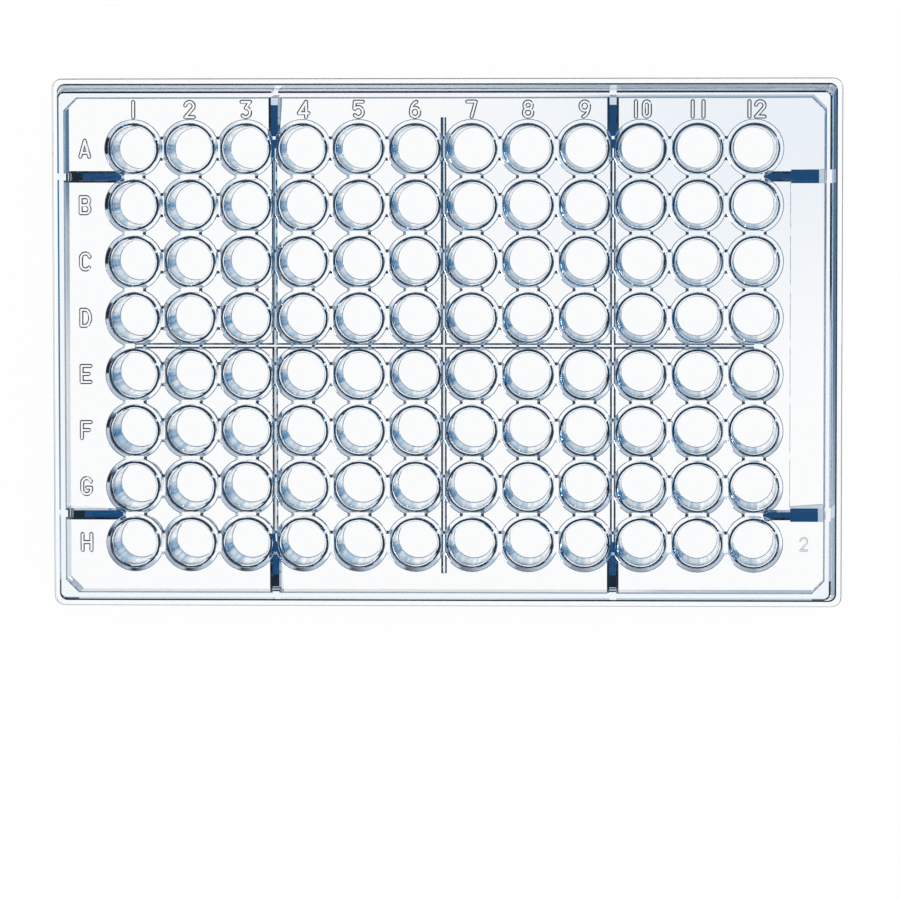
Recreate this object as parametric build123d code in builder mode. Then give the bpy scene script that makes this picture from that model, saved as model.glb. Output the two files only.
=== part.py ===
from build123d import *
import os

# One clear injection-moulded plate with twelve columns and eight rows of flat-bottomed wells.
# The origin is on the resting plane, under the middle of the plate. X runs along the columns
# 1 to 12, Y runs from row H up to row A, and Z is up. Every size is in millimetres.

# Footprint and overall height
FOOTPRINT_LENGTH = 127.76
FOOTPRINT_WIDTH = 85.48
PLATE_HEIGHT = 14.35

# Well grid
PITCH = 9.0
COLUMNS = 12
ROWS = 8
GRID_LENGTH = (COLUMNS - 1) * PITCH
GRID_WIDTH = (ROWS - 1) * PITCH

# Wells
BORE_MOUTH_RADIUS = 3.5
BORE_FLOOR_RADIUS = 3.18
BORE_DEPTH = 10.9
BORE_FLOOR_CHAMFER = 0.2
MOUTH_CHAMFER = 0.1
TUBE_TOP_RADIUS = 3.95
TUBE_FOOT_RADIUS = 3.66
TUBE_FLOOR = 1.15
TUBE_EDGE_CHAMFER = 0.12
BORE_FLOOR = PLATE_HEIGHT - BORE_DEPTH
TUBE_FOOT = BORE_FLOOR - TUBE_FLOOR

# Deck with the raised collars that join neighbouring wells
DECK_TOP = 13.6
DECK_THICKNESS = 1.1
DECK_UNDER = DECK_TOP - DECK_THICKNESS
COLLAR_RADIUS = 4.6
COLLAR_HEIGHT = 0.35

# Skirt: drafted wall above a flange that widens the foot
FLANGE_HEIGHT = 2.41
FLANGE_CORNER = 1.6
FLANGE_LEDGE = 1.0
WALL_DRAFT = 1.12
WALL_CORNER = 1.1
WALL_THICKNESS = 0.95
WALL_FOOT_LENGTH = FOOTPRINT_LENGTH - 2 * FLANGE_LEDGE
WALL_FOOT_WIDTH = FOOTPRINT_WIDTH - 2 * FLANGE_LEDGE
WALL_TOP_LENGTH = WALL_FOOT_LENGTH - 2 * WALL_DRAFT
WALL_TOP_WIDTH = WALL_FOOT_WIDTH - 2 * WALL_DRAFT
HOLLOW_TOP_LENGTH = WALL_TOP_LENGTH - 2 * WALL_THICKNESS
HOLLOW_TOP_WIDTH = WALL_TOP_WIDTH - 2 * WALL_THICKNESS
HOLLOW_DRAFT = 0.9
HOLLOW_CHAMFER = 2.05
FLANGE_STEP_HEIGHT = 1.35
FLANGE_WALL = 1.15

# Stiffening under the deck
RIB_THICKNESS = 0.6
RIB_DEPTH = 4.0
CENTRE_RIB_OVERHANG = 4.95
GUSSET_THICKNESS = 1.8
GUSSET_FOOT = 3.0
GUSSET_TIP_DEPTH = 1.4
GUSSET_REACH = 9.6
GUSSET_FLAT = 2.0

# Recessed panel for writing, between the two gussets at the column 12 end
PANEL_EDGE = 55.25
PANEL_HALF_WIDTH = 26.3
PANEL_DEPTH = 0.15

# Raised row letters and column numbers
STROKE = 0.68
GLYPH_HEIGHT = 0.16
LETTER_X = -57.3
LETTER_RISE = 2.56
LETTER_SPREAD = 1.42
NUMBER_Y = 37.72
NUMBER_RISE = 2.42
NUMBER_SPREAD = 1.34
DIGIT_GAP = 1.72
MARK_STROKE = 0.26
MARK_RISE = 2.0
MARK_SPREAD = 1.05
MARK_X = 57.45
MARK_Y = -31.6

# Proportions of the characters, as fractions of half their spread or half their rise
CROSSBAR_SPREAD = 0.62
CROSSBAR_DROP = 0.5
ARM = 0.55
NARROW = 0.72
HOOK_SPREAD = 0.8
THREE_WAIST = 0.2
THREE_BELLY = 0.4
FIVE_SHOULDER = 0.15
FIVE_BELLY = 0.3
FOUR_STEM = 0.9
FOUR_HEEL = 0.8
FOUR_TOE = 1.4
TAIL_SPREAD = 0.6
TAIL_DROP = 0.92
TAIL_END = 0.68
G_TONGUE = 0.1


def straight(start, end, width):
    """Add a straight stroke with round ends to the open sketch."""
    middle = ((start[0] + end[0]) / 2, (start[1] + end[1]) / 2)
    SlotCenterPoint(middle, end, width)


def bow(start, through, end, width):
    """Add a curved stroke with round ends to the open sketch."""
    SlotArc(ThreePointArc(start, through, end), width)


def glyph(character, width, rise, spread):
    """Add one character to the open sketch, centred on the local origin.

    rise and spread are the height and width between the middles of its outer strokes.
    """
    top, low = rise / 2, -rise / 2
    right, left = spread / 2, -spread / 2
    lobe = rise / 4
    if character == "A":
        straight((left, low), (0, top), width)
        straight((0, top), (right, low), width)
        bar = CROSSBAR_SPREAD * right
        straight((-bar, low * CROSSBAR_DROP), (bar, low * CROSSBAR_DROP), width)
    elif character == "B":
        straight((left, low), (left, top), width)
        straight((left, top), (right - lobe, top), width)
        straight((left, 0), (right - lobe, 0), width)
        straight((left, low), (right - lobe, low), width)
        bow((right - lobe, top), (right, lobe), (right - lobe, 0), width)
        bow((right - lobe, 0), (right, -lobe), (right - lobe, low), width)
    elif character in "CG":
        bow((right, top - right), (0, top), (left, top - right), width)
        straight((left, top - right), (left, low + right), width)
        bow((left, low + right), (0, low), (right, low + right), width)
    elif character == "D":
        straight((left, low), (left, top), width)
        straight((left, top), (left + lobe, top), width)
        straight((left, low), (left + lobe, low), width)
        bow((left + lobe, top), (right, 0), (left + lobe, low), width)
    elif character in "EF":
        straight((left, low), (left, top), width)
        straight((left, top), (right, top), width)
        straight((left, 0), (right * ARM, 0), width)
    elif character == "H":
        straight((left, low), (left, top), width)
        straight((right, low), (right, top), width)
        straight((left, 0), (right, 0), width)
    elif character == "0":
        round_end = right * NARROW
        straight((-round_end, low + round_end), (-round_end, top - round_end), width)
        straight((round_end, low + round_end), (round_end, top - round_end), width)
        bow((-round_end, top - round_end), (0, top), (round_end, top - round_end), width)
        bow((-round_end, low + round_end), (0, low), (round_end, low + round_end), width)
    elif character == "1":
        straight((0, low), (0, top), width)
    elif character == "2":
        bow((left, top - right), (0, top), (right, top - right), width)
        straight((right, top - right), (left, low), width)
        straight((left, low), (right, low), width)
    elif character == "3":
        straight((left, top), (right, top), width)
        straight((right, top), (0, THREE_WAIST * top), width)
        bow((0, THREE_WAIST * top), (right, low * THREE_BELLY), (0, low), width)
        bow((0, low), (left * TAIL_SPREAD, low * TAIL_DROP), (left, low * TAIL_END), width)
    elif character == "4":
        stem = right * FOUR_STEM
        heel = left * FOUR_HEEL
        straight((stem, low), (stem, top), width)
        straight((stem, top), (heel, low * CROSSBAR_DROP), width)
        straight((heel, low * CROSSBAR_DROP), (right * FOUR_TOE, low * CROSSBAR_DROP), width)
    elif character == "5":
        straight((right, top), (left, top), width)
        straight((left, top), (left, FIVE_SHOULDER * top), width)
        bow((left, FIVE_SHOULDER * top), (right, low * FIVE_BELLY), (0, low), width)
        bow((0, low), (left * TAIL_SPREAD, low * TAIL_DROP), (left, low * TAIL_END), width)
    elif character == "7":
        straight((left, top), (right, top), width)
        straight((right, top), (0, low), width)
    if character == "E":
        straight((left, low), (right, low), width)
    if character == "G":
        straight((right, low + right), (right, low * G_TONGUE), width)
        straight((0, low * G_TONGUE), (right, low * G_TONGUE), width)
    if character in "68":
        bow((right, -lobe), (0, 0), (left, -lobe), width)
        bow((left, -lobe), (0, low), (right, -lobe), width)
    if character in "89":
        bow((right, lobe), (0, top), (left, lobe), width)
        bow((left, lobe), (0, 0), (right, lobe), width)
    if character == "6":
        bow((right * HOOK_SPREAD, top * HOOK_SPREAD), (0, top), (left, lobe), width)
        straight((left, lobe), (left, -lobe), width)
    if character == "9":
        straight((right, lobe), (right, -lobe), width)
        bow((right, -lobe), (0, low), (left * HOOK_SPREAD, low * HOOK_SPREAD), width)


# The outside of one well: a tapered tube that stands proud of the deck as a rim
with BuildPart() as tube:
    with BuildSketch(Plane.XZ):
        with BuildLine():
            Polyline(
                (0, TUBE_FOOT),
                (TUBE_FOOT_RADIUS - TUBE_EDGE_CHAMFER, TUBE_FOOT),
                (TUBE_FOOT_RADIUS, TUBE_FOOT + TUBE_EDGE_CHAMFER),
                (TUBE_TOP_RADIUS, DECK_UNDER),
                (TUBE_TOP_RADIUS, PLATE_HEIGHT - TUBE_EDGE_CHAMFER),
                (TUBE_TOP_RADIUS - TUBE_EDGE_CHAMFER, PLATE_HEIGHT),
                (0, PLATE_HEIGHT),
                close=True,
            )
        make_face()
    revolve(axis=Axis.Z)

# The space inside one well, with a bevelled corner at its flat floor
with BuildPart() as bore:
    with BuildSketch(Plane.XZ):
        with BuildLine():
            Polyline(
                (0, BORE_FLOOR),
                (BORE_FLOOR_RADIUS - BORE_FLOOR_CHAMFER, BORE_FLOOR),
                (BORE_FLOOR_RADIUS, BORE_FLOOR + BORE_FLOOR_CHAMFER),
                (BORE_MOUTH_RADIUS, PLATE_HEIGHT - MOUTH_CHAMFER),
                (BORE_MOUTH_RADIUS + MOUTH_CHAMFER, PLATE_HEIGHT),
                (0, PLATE_HEIGHT),
                close=True,
            )
        make_face()
    revolve(axis=Axis.Z)

# A web that stiffens the skirt: deepest at the skirt, with a sloped lower edge. It stands in
# the XZ plane, with the skirt's inner face at X = 0 and the wells towards negative X.
with BuildPart() as gusset:
    with BuildSketch(Plane.XZ):
        with BuildLine():
            Polyline(
                (WALL_THICKNESS / 2, DECK_TOP - PANEL_DEPTH),
                (WALL_THICKNESS / 2, GUSSET_FOOT),
                (-GUSSET_FLAT, GUSSET_FOOT),
                (-GUSSET_REACH, DECK_UNDER - GUSSET_TIP_DEPTH),
                (-GUSSET_REACH, DECK_TOP - PANEL_DEPTH),
                close=True,
            )
        make_face()
    extrude(amount=GUSSET_THICKNESS / 2, both=True)

with BuildPart() as well_plate:
    # Flange around the foot
    with BuildSketch(Plane.XY):
        RectangleRounded(FOOTPRINT_LENGTH, FOOTPRINT_WIDTH, FLANGE_CORNER)
    extrude(amount=FLANGE_HEIGHT)
    # Drafted wall up to the deck
    with BuildSketch(Plane.XY.offset(FLANGE_HEIGHT)):
        RectangleRounded(WALL_FOOT_LENGTH, WALL_FOOT_WIDTH, WALL_CORNER)
    with BuildSketch(Plane.XY.offset(DECK_TOP)):
        RectangleRounded(WALL_TOP_LENGTH, WALL_TOP_WIDTH, WALL_CORNER)
    loft()
    # The open underside, with flattened corners
    with BuildSketch(Plane.XY):
        Rectangle(HOLLOW_TOP_LENGTH + 2 * HOLLOW_DRAFT, HOLLOW_TOP_WIDTH + 2 * HOLLOW_DRAFT)
        chamfer(vertices(), length=HOLLOW_CHAMFER)
    with BuildSketch(Plane.XY.offset(DECK_UNDER)):
        Rectangle(HOLLOW_TOP_LENGTH, HOLLOW_TOP_WIDTH)
        chamfer(vertices(), length=HOLLOW_CHAMFER)
    loft(mode=Mode.SUBTRACT)
    with BuildSketch(Plane.XY):
        RectangleRounded(
            FOOTPRINT_LENGTH - 2 * FLANGE_WALL, FOOTPRINT_WIDTH - 2 * FLANGE_WALL, WALL_CORNER
        )
    extrude(amount=FLANGE_STEP_HEIGHT, mode=Mode.SUBTRACT)
    # Recessed writing panel
    panel_length = WALL_TOP_LENGTH / 2 - WALL_THICKNESS - PANEL_EDGE
    with BuildSketch(Plane.XY.offset(DECK_TOP)):
        with Locations((PANEL_EDGE + panel_length / 2, 0)):
            Rectangle(panel_length, 2 * PANEL_HALF_WIDTH)
    extrude(amount=-PANEL_DEPTH, mode=Mode.SUBTRACT)
    # Collars that run into each other between the wells
    with BuildSketch(Plane.XY.offset(DECK_TOP)):
        with GridLocations(PITCH, PITCH, COLUMNS, ROWS):
            Circle(COLLAR_RADIUS)
    extrude(amount=COLLAR_HEIGHT)
    # Ribs between columns 3 and 4, 6 and 7, 9 and 10, and between rows D and E
    with BuildSketch(Plane.XY.offset(DECK_UNDER - RIB_DEPTH)):
        with GridLocations(PITCH * COLUMNS / 2, 0, 2, 1):
            Rectangle(RIB_THICKNESS, GRID_WIDTH)
        SlotOverall(GRID_WIDTH + 2 * CENTRE_RIB_OVERHANG, RIB_THICKNESS, rotation=90)
        Rectangle(GRID_LENGTH, RIB_THICKNESS)
    extrude(amount=RIB_DEPTH)
    # Gussets: four along the long sides and two at each end
    for side in (1, -1):
        with GridLocations(PITCH * COLUMNS / 2, 0, 2, 1):
            with Locations(Location((0, side * HOLLOW_TOP_WIDTH / 2, 0), (0, 0, side * 90))):
                add(gusset.part)
        with GridLocations(0, PITCH * (ROWS - 2), 1, 2):
            with Locations(Location((side * HOLLOW_TOP_LENGTH / 2, 0, 0), (0, 0, 90 - side * 90))):
                add(gusset.part)
    # Wells
    with GridLocations(PITCH, PITCH, COLUMNS, ROWS):
        add(tube.part)
    with GridLocations(PITCH, PITCH, COLUMNS, ROWS):
        add(bore.part, mode=Mode.SUBTRACT)
    # Row letters, column numbers and a small cavity mark
    with BuildSketch(Plane.XY.offset(DECK_TOP)):
        for row, letter in enumerate("ABCDEFGH"):
            with Locations((LETTER_X, GRID_WIDTH / 2 - row * PITCH)):
                glyph(letter, STROKE, LETTER_RISE, LETTER_SPREAD)
        for column in range(COLUMNS):
            number = str(column + 1)
            start = column * PITCH - GRID_LENGTH / 2 - (len(number) - 1) * DIGIT_GAP / 2
            for place, digit in enumerate(number):
                with Locations((start + place * DIGIT_GAP, NUMBER_Y)):
                    glyph(digit, STROKE, NUMBER_RISE, NUMBER_SPREAD)
        with Locations((MARK_X, MARK_Y)):
            glyph("2", MARK_STROKE, MARK_RISE, MARK_SPREAD)
    extrude(amount=GLYPH_HEIGHT)

well_plate.part.label = "well_plate"
os.makedirs("parts", exist_ok=True)
export_step(well_plate.part, "parts/well_plate.step")
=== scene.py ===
import logging
import math
from collections.abc import Sequence
from dataclasses import dataclass, fields
from enum import Enum
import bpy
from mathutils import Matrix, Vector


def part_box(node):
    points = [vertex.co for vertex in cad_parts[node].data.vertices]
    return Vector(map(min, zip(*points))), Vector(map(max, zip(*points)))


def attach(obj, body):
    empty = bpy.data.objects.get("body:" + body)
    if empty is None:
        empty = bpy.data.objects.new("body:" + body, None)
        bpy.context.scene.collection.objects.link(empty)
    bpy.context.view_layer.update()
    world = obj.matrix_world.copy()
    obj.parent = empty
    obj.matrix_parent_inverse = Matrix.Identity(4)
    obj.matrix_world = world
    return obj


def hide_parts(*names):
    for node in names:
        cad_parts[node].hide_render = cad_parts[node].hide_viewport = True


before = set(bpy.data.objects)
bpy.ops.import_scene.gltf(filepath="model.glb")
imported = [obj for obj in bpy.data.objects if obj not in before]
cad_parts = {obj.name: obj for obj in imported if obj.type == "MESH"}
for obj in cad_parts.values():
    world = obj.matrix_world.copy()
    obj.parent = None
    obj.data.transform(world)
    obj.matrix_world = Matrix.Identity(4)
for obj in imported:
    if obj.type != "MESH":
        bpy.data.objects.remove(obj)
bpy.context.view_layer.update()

from types import SimpleNamespace

import bmesh
import bpy
from mathutils import Euler, Vector

MM = 0.001
WELD = 1e-7
QUARTER_TURN = math.pi / 2.0
FULL_TURN = 2.0 * math.pi
BAND = "band"  # Faces of one band shade as one surface, and those of band 0 stay flat.
ROOT_BEND = 0.3  # How far in the middle of a splayed root lies, as a share of the root.

Point = tuple[float, float]
Outline = list[Point]
Colour = tuple[float, float, float]
Socket = bpy.types.NodeSocket
Inputs = dict[str | int, object]

log = logging.getLogger("well_plate")


class Number:
    """A number inside a node tree that adds, subtracts and scales as a float does."""

    def __init__(self, tree: "Tree", socket: Socket) -> None:
        """Hold the socket that gives the number."""
        self.tree = tree
        self.socket = socket

    def __add__(self, other: "Number | float") -> "Number":
        """Return the sum."""
        return self.tree.maths("ADD", self, other)

    def __sub__(self, other: "Number | float") -> "Number":
        """Return the difference."""
        return self.tree.maths("SUBTRACT", self, other)

    def __rsub__(self, other: float) -> "Number":
        """Return the difference the other way round."""
        return self.tree.maths("SUBTRACT", other, self)

    def __mul__(self, other: "Number | float") -> "Number":
        """Return the product."""
        return self.tree.maths("MULTIPLY", self, other)

    def __truediv__(self, other: "Number | float") -> "Number":
        """Return the quotient."""
        return self.tree.maths("DIVIDE", self, other)


Value = Number | float
Spot = tuple[Value, Value]


class Tree:
    """A node tree under construction."""

    def __init__(self, nodes_of: bpy.types.NodeTree) -> None:
        """Hold the tree that the nodes go into."""
        self.tree = nodes_of

    def fill(self, node: bpy.types.Node, inputs: Inputs) -> None:
        """Fill a node's sockets with sockets, numbers, lists of sockets or constants.

        Args:
            node: The node.
            inputs: What goes into each socket.
        """
        for key, value in inputs.items():
            for one in value if isinstance(value, list) else [value]:
                if isinstance(one, Number):
                    one = one.socket
                if isinstance(one, Socket):
                    self.tree.links.new(one, node.inputs[key])
                else:
                    node.inputs[key].default_value = one

    def node(self, kind: str, inputs: Inputs | None = None, **options: object) -> bpy.types.Node:
        """Add a node, set its options and fill its sockets.

        Args:
            kind: The node's type name.
            inputs: What goes into each socket.
            options: The node's own settings.

        Returns:
            The new node.
        """
        node = self.tree.nodes.new(kind)
        for option, value in options.items():
            setattr(node, option, value)
        self.fill(node, inputs or {})
        return node

    def maths(self, operation: str, *values: Value | Socket) -> Number:
        """Return the result of a sum on numbers."""
        node = self.node("ShaderNodeMath", dict(enumerate(values)), operation=operation)
        return Number(self, node.outputs[0])

    def vector(self, x: Value = 0.0, y: Value = 0.0, z: Value = 0.0) -> Socket:
        """Return a vector made of three numbers."""
        return self.node("ShaderNodeCombineXYZ", {0: x, 1: y, 2: z}).outputs[0]

    def axes(self, vector: Socket) -> list[Number]:
        """Return a vector's three numbers."""
        return [Number(self, axis) for axis in self.node("ShaderNodeSeparateXYZ", {0: vector}).outputs]

    def ramp(self, value: Value, start: float, end: float) -> Number:
        """Return a smooth rise from 0 to 1 between two values, or a fall where the first is the larger.

        Args:
            value: What it follows.
            start: The value at which it is 0.
            end: The value at which it is 1.

        Returns:
            The rise's number.
        """
        ends = {"Value": value, "From Min": start, "From Max": end}
        node = self.node("ShaderNodeMapRange", ends, interpolation_type="SMOOTHSTEP")
        return Number(self, node.outputs[0])

    def mixed(self, share: Value, first: Socket | Colour, second: Socket | Colour) -> Socket:
        """Return a blend of two colours."""
        ends = [one if isinstance(one, Socket) else (*one, 1.0) for one in (first, second)]
        return self.node("ShaderNodeMix", {0: share, 6: ends[0], 7: ends[1]}, data_type="RGBA").outputs[2]

    def either(self, share: Value | Socket, first: Socket, second: Socket) -> Socket:
        """Return a blend of two shaders."""
        return self.node("ShaderNodeMixShader", {0: share, 1: first, 2: second}).outputs[0]


class Sketch(Tree):
    """A Geometry Nodes tree with named inputs for its sizes, which makes one plain mesh."""

    def __init__(self, name: str, material: bpy.types.Material) -> None:
        """Start a tree that takes one mesh in and gives one mesh out.

        Args:
            name: The tree's name.
            material: The finish of what it makes.
        """
        super().__init__(bpy.data.node_groups.new(name, "GeometryNodeTree"))
        self.material = material
        self.settings: dict[str, object] = {}
        for way in ("INPUT", "OUTPUT"):
            self.tree.interface.new_socket("Mesh", in_out=way, socket_type="NodeSocketGeometry")
        self.way_in = self.tree.nodes.new("NodeGroupInput")
        self.way_out = self.tree.nodes.new("NodeGroupOutput")

    @property
    def mesh(self) -> Socket:
        """The mesh that comes in."""
        return self.way_in.outputs["Mesh"]

    def setting(self, name: str, kind: str, value: object) -> Socket:
        """Return a new named input of a kind, whose value the modifier gives.

        Args:
            name: The input's name.
            kind: Its socket's kind, such as Float.
            value: Its value.

        Returns:
            The input's socket.
        """
        socket = self.tree.interface.new_socket(name, in_out="INPUT", socket_type="NodeSocket" + kind)
        self.settings[socket.identifier] = value
        return self.way_in.outputs[name]

    def length(self, name: str, millimetres: float) -> Number:
        """Return a named input for a size, in metres."""
        return self.plain(name, millimetres * MM)

    def plain(self, name: str, value: float) -> Number:
        """Return a named input for an angle or a share."""
        return Number(self, self.setting(name, "Float", float(value)))

    def count(self, name: str, value: int) -> Number:
        """Return a named input for a whole number."""
        return Number(self, self.setting(name, "Int", int(value)))

    def sizes(self, form: object) -> SimpleNamespace:
        """Return a named input for each size that a dataclass holds in millimetres.

        Args:
            form: The dataclass.

        Returns:
            The inputs, under the names of its fields.
        """
        names = [field.name for field in fields(form) if isinstance(getattr(form, field.name), float)]
        return SimpleNamespace(
            **{name: self.length(name.replace("_", " ").capitalize(), getattr(form, name)) for name in names}
        )

    def index(self) -> Number:
        """Return the index of each element."""
        return Number(self, self.node("GeometryNodeInputIndex").outputs[0])

    def choose(self, kind: str, index: Value, choices: Sequence[object]) -> Socket:
        """Return the choice, of a data type, that each element's index names.

        Args:
            kind: The data type.
            index: Which choice each element takes.
            choices: What there is.

        Returns:
            The choice's socket.
        """
        node = self.node("GeometryNodeIndexSwitch", data_type=kind)
        while len(node.index_switch_items) < len(choices):
            node.index_switch_items.new()
        self.fill(node, {"Index": index, **dict(enumerate(choices, start=1))})
        return node.outputs[0]

    def line(self, spots: Sequence[Spot], upright: bool = False) -> Socket:
        """Return a chain of edges through the spots, in XZ where it is upright, or else in XY.

        Args:
            spots: The points.
            upright: Whether their second number is a height.

        Returns:
            The chain's mesh.
        """
        places = [self.vector(a, 0.0, b) if upright else self.vector(a, b) for a, b in spots]
        line = self.node("GeometryNodeMeshLine", {"Count": len(spots)})
        place = self.choose("VECTOR", self.index(), places)
        return self.node("GeometryNodeSetPosition", {0: line.outputs[0], "Position": place}).outputs[0]

    def loop(self, spots: Sequence[Spot]) -> Socket:
        """Return a closed curve through the spots, in XY."""
        curve = self.node("GeometryNodeMeshToCurve", {0: self.line(spots)}).outputs[0]
        return self.node("GeometryNodeSetSplineCyclic", {0: curve, "Cyclic": True}).outputs[0]

    def band(self, mesh: Socket, value: object) -> Socket:
        """Return the mesh with its faces marked as one band of shading, or by a field.

        Args:
            mesh: The mesh.
            value: The band's number, or a field of them.

        Returns:
            The marked mesh.
        """
        marks = {"Geometry": mesh, "Name": BAND, "Value": value}
        node = self.node("GeometryNodeStoreNamedAttribute", marks, data_type="FLOAT", domain="FACE")
        return node.outputs[0]

    def welded(self, mesh: Socket) -> Socket:
        """Return the mesh with its meeting points made one."""
        return self.node("GeometryNodeMergeByDistance", {0: mesh, "Distance": WELD}).outputs[0]

    def moved(self, mesh: Socket, place: Socket, turn: Sequence[float] = (0.0, 0.0, 0.0)) -> Socket:
        """Return the mesh turned and then moved."""
        inputs = {0: mesh, "Translation": place, "Rotation": turn}
        return self.node("GeometryNodeTransform", inputs).outputs[0]

    def turned(self, spots: Sequence[Spot], bands: Sequence[int], segments: int) -> Socket:
        """Return the closed solid that a profile sweeps round Z.

        Args:
            spots: The profile, from the axis to the axis, as (radius, height).
            bands: The shading band of the strip that starts at each spot.
            segments: How many facets go round.

        Returns:
            The solid's mesh.
        """
        around = self.count("Facets round", segments)
        columns = around + 1.0
        profile = self.line(spots, upright=True)
        grid = self.node("GeometryNodeMeshGrid", {"Vertices X": len(spots), "Vertices Y": columns})
        row = self.maths("FLOOR", self.index() / columns)
        angle = self.maths("MODULO", self.index(), columns) * FULL_TURN / around
        place = self.node("GeometryNodeInputPosition").outputs[0]
        sampled = {0: profile, 1: place, "Index": row}
        radius, _, height = self.axes(
            self.node("GeometryNodeSampleIndex", sampled, data_type="FLOAT_VECTOR").outputs[0]
        )
        spot = self.vector(radius * self.maths("COSINE", angle), radius * self.maths("SINE", angle), height)
        strip = self.maths("FLOOR", self.index() / around)
        marked = self.band(grid.outputs[0], self.choose("FLOAT", strip, [float(band) for band in bands]))
        solid = self.node("GeometryNodeSetPosition", {0: marked, "Position": spot}).outputs[0]
        return self.welded(self.node("GeometryNodeFlipFaces", {0: solid}).outputs[0])

    def prism(self, spots: Sequence[Spot], length: Value) -> Socket:
        """Return a closed prism that runs along Y, with its middle at the origin.

        Args:
            spots: The outline across it, anticlockwise, as (sideways, height).
            length: How far it runs.

        Returns:
            The prism's mesh.
        """
        face = self.node("GeometryNodeFillCurve", {0: self.loop(spots)}, mode="NGONS").outputs[0]
        up = {0: face, "Offset": self.vector(z=length), "Offset Scale": 1.0}
        top = self.node("GeometryNodeExtrudeMesh", up).outputs[0]
        base = self.node("GeometryNodeFlipFaces", {0: face}).outputs[0]
        closed = self.welded(self.joined([top, base]))
        return self.moved(closed, self.vector(0.0, length * 0.5, 0.0), (QUARTER_TURN, 0.0, 0.0))

    def joined(self, meshes: list[Socket]) -> Socket:
        """Return the meshes side by side as one."""
        return self.node("GeometryNodeJoinGeometry", {0: meshes}).outputs[0]

    def grid(self, columns: int, rows: int, pitch: float) -> tuple[Socket, Number]:
        """Return a grid of points at a pitch in millimetres, and the input that holds its number of rows.

        Args:
            columns: How many points along X.
            rows: How many along Y.
            pitch: The distance between them.

        Returns:
            The points and the input.
        """
        across, along = self.count("Columns", columns), self.count("Rows", rows)
        step = self.length("Pitch", pitch)
        inputs = {"Size X": (across - 1.0) * step, "Size Y": (along - 1.0) * step}
        inputs |= {"Vertices X": across, "Vertices Y": along}
        return self.node("GeometryNodeMeshGrid", inputs).outputs[0], along

    def placed(self, solid: Socket, points: Socket, choice: object = True, turn: Value = 0.0) -> Socket:
        """Return copies of a solid on points.

        Args:
            solid: What is copied.
            points: Where the copies go.
            choice: Which of the points take a copy.
            turn: The angle that each copy turns about Z.

        Returns:
            The copies, made real.
        """
        inputs = {"Points": points, "Selection": choice, "Instance": solid, "Rotation": self.vector(z=turn)}
        copies = self.node("GeometryNodeInstanceOnPoints", inputs).outputs[0]
        return self.node("GeometryNodeRealizeInstances", {0: copies}).outputs[0]

    def fused(self, solids: list[Socket]) -> Socket:
        """Return one solid made of several that overlap."""
        return self.boolean("UNION", {"Mesh 2": solids})

    def cut(self, solid: Socket, spaces: list[Socket]) -> Socket:
        """Return a solid with spaces taken out of it."""
        return self.boolean("DIFFERENCE", {"Mesh 1": solid, "Mesh 2": spaces})

    def boolean(self, operation: str, solids: Inputs) -> Socket:
        """Return the outcome of one operation on closed solids."""
        return self.node("GeometryNodeMeshBoolean", solids, operation=operation, solver="MANIFOLD").outputs[0]

    def swept_clean(self, solid: Socket, crumb: int) -> Socket:
        """Return a solid without the crumbs, of fewer points than given, that fusing can leave loose.

        Args:
            solid: The solid.
            crumb: The fewest points that a loose part keeps.

        Returns:
            The clean solid.
        """
        island = self.node("GeometryNodeInputMeshIsland").outputs["Island Index"]
        count = self.node("GeometryNodeAccumulateField", {"Group ID": island}).outputs["Total"]
        small = self.maths("LESS_THAN", Number(self, count), self.count("Crumb", crumb))
        return self.node("GeometryNodeDeleteGeometry", {0: solid, "Selection": small}).outputs[0]

    def solid_of(self, name: str, piece: bpy.types.Object) -> Socket:
        """Return the mesh of a named object."""
        inputs = {"Object": self.setting(name, "Object", piece)}
        return self.node("GeometryNodeObjectInfo", inputs, transform_space="ORIGINAL").outputs["Geometry"]

    def build(self, result: Socket, base: bpy.types.Mesh | None = None) -> bpy.types.Mesh:
        """Finish the tree, run it on a mesh and return the result as a plain mesh.

        Args:
            result: The geometry that the tree gives.
            base: The mesh that goes in, if the tree doesn't make everything itself.

        Returns:
            The plain mesh.
        """
        real = self.node("GeometryNodeRealizeInstances", {0: result}).outputs[0]
        dressed = self.node("GeometryNodeSetMaterial", {0: real, "Material": self.material})
        self.fill(self.way_out, {"Mesh": dressed.outputs[0]})
        holder = held(self.tree.name, base or bpy.data.meshes.new("empty"))
        modifier = holder.modifiers.new(self.tree.name, "NODES")
        modifier.node_group = self.tree
        for identifier, value in self.settings.items():
            modifier[identifier] = value
        seen = holder.evaluated_get(bpy.context.evaluated_depsgraph_get())
        mesh = bpy.data.meshes.new_from_object(seen)
        holder.modifiers.remove(modifier)
        bpy.data.objects.remove(holder)
        return mesh


def held(name: str, mesh: bpy.types.Mesh) -> bpy.types.Object:
    """Return a new object in the scene that holds a mesh.

    Args:
        name: The object's name.
        mesh: Its mesh.

    Returns:
        The object.
    """
    holder = bpy.data.objects.new(name, mesh)
    bpy.context.scene.collection.objects.link(holder)
    return holder


def rounding(radius: Value, height: Value, size: Value, out: int, up: int, steps: int) -> list[Spot]:
    """Return spots that round a corner of a turned profile, from the flat run to the upright run.

    Args:
        radius: The corner's radius from the axis.
        height: The corner's height.
        size: The rounding's own radius.
        out: 1 if the flat run lies towards the axis, -1 if away from it.
        up: 1 if the upright run goes up from the corner, -1 if down.
        steps: How many facets the rounding has.

    Returns:
        The spots, first on the flat run.
    """
    spots = []
    for step in range(steps + 1):
        angle = QUARTER_TURN * step / steps
        across, rise = 1.0 - math.sin(angle), 1.0 - math.cos(angle)
        spots.append((radius - size * (out * across), height + size * (up * rise)))
    return spots


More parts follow.
